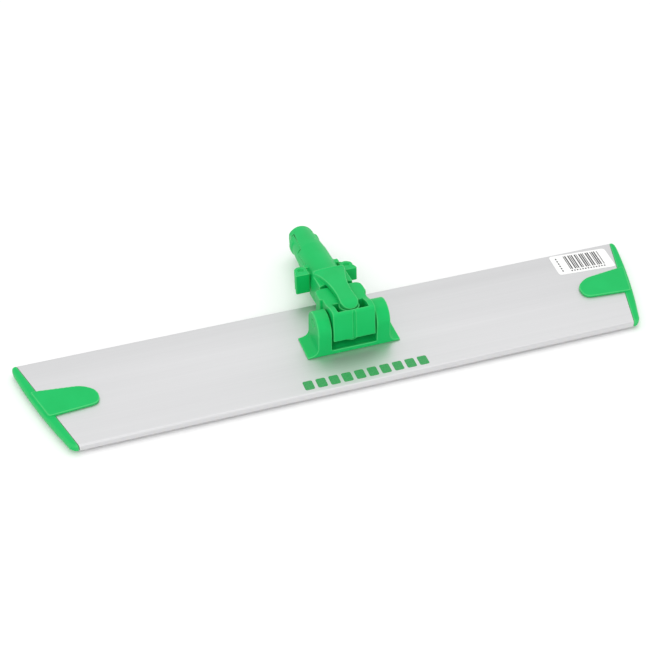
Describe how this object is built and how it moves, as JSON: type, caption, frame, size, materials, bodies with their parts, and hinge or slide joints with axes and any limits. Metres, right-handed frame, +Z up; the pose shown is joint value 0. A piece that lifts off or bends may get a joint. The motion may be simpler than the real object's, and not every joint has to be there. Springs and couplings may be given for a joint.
{
  "type": "flat mop frame",
  "caption": "Long flat mop frame: aluminium plate with hook strips below, green end caps and a two-axis swivel joint whose connector takes a pole.",
  "frame": {"origin": "centre of the pad side, on the tips of the centre hook strip", "axes": "+X along the plate, +Y towards its long rear edge, where the handle connector lies at rest, +Z up"},
  "size_m": [0.4438, 0.1556, 0.0402],
  "materials": {
    "aluminium": "satin anodised, faintly brushed along its length",
    "green_plastic": "satin moulded plastic",
    "steel": "zinc plated",
    "hook_tape": "moulded hooks on a woven tape, matt",
    "label": "coated paper sticker, matt"
  },
  "bodies": {
    "plate": {"deck_plate": "aluminium", "front_hook_strip": "hook_tape", "centre_hook_strip": "hook_tape", "rear_hook_strip": "hook_tape", "joint_base": "green_plastic", "product_label": "label", "base_screw_1": "steel", "base_screw_2": "steel", "base_screw_3": "steel", "base_screw_4": "steel", "left_end_cap": "green_plastic", "left_tilt_pin": "green_plastic", "left_cap_screw_1": "steel", "left_cap_screw_2": "steel", "right_end_cap": "green_plastic", "right_tilt_pin": "green_plastic", "right_cap_screw_1": "steel", "right_cap_screw_2": "steel"},
    "yoke": {"yoke": "green_plastic"},
    "connector": {"connector_body": "green_plastic", "swivel_pin": "steel", "left_latch_pin": "green_plastic", "left_latch_spring": "steel", "right_latch_pin": "green_plastic", "right_latch_spring": "steel"},
    "left_latch": {"left_latch_lever": "green_plastic"},
    "right_latch": {"right_latch_lever": "green_plastic"}
  },
  "joints": [
    {"name": "yoke_tilt", "type": "hinge", "parent": "plate", "child": "yoke", "pos_m": [0, 0, 0.0275], "axis": [1, 0, 0], "range_deg": [0, 190]},
    {"name": "connector_swivel", "type": "hinge", "parent": "yoke", "child": "connector", "pos_m": [0, 0, 0.0275], "axis": [0, 0.1011, 0.9949], "range_deg": [-33, 33]},
    {"name": "left_latch_release", "type": "hinge", "parent": "connector", "child": "left_latch", "pos_m": [-0.0167, 0.05492, 0.02192], "axis": [0, -0.1011, -0.9949], "range_deg": [0, 2.5], "stiffness_Nm_per_rad": 0.08, "springref_deg": -8.59, "deforming": ["left_latch_spring"]},
    {"name": "right_latch_release", "type": "hinge", "parent": "connector", "child": "right_latch", "pos_m": [0.0167, 0.05492, 0.02192], "axis": [0, 0.1011, 0.9949], "range_deg": [0, 2.5], "stiffness_Nm_per_rad": 0.08, "springref_deg": -8.59, "deforming": ["right_latch_spring"]}
  ]
}
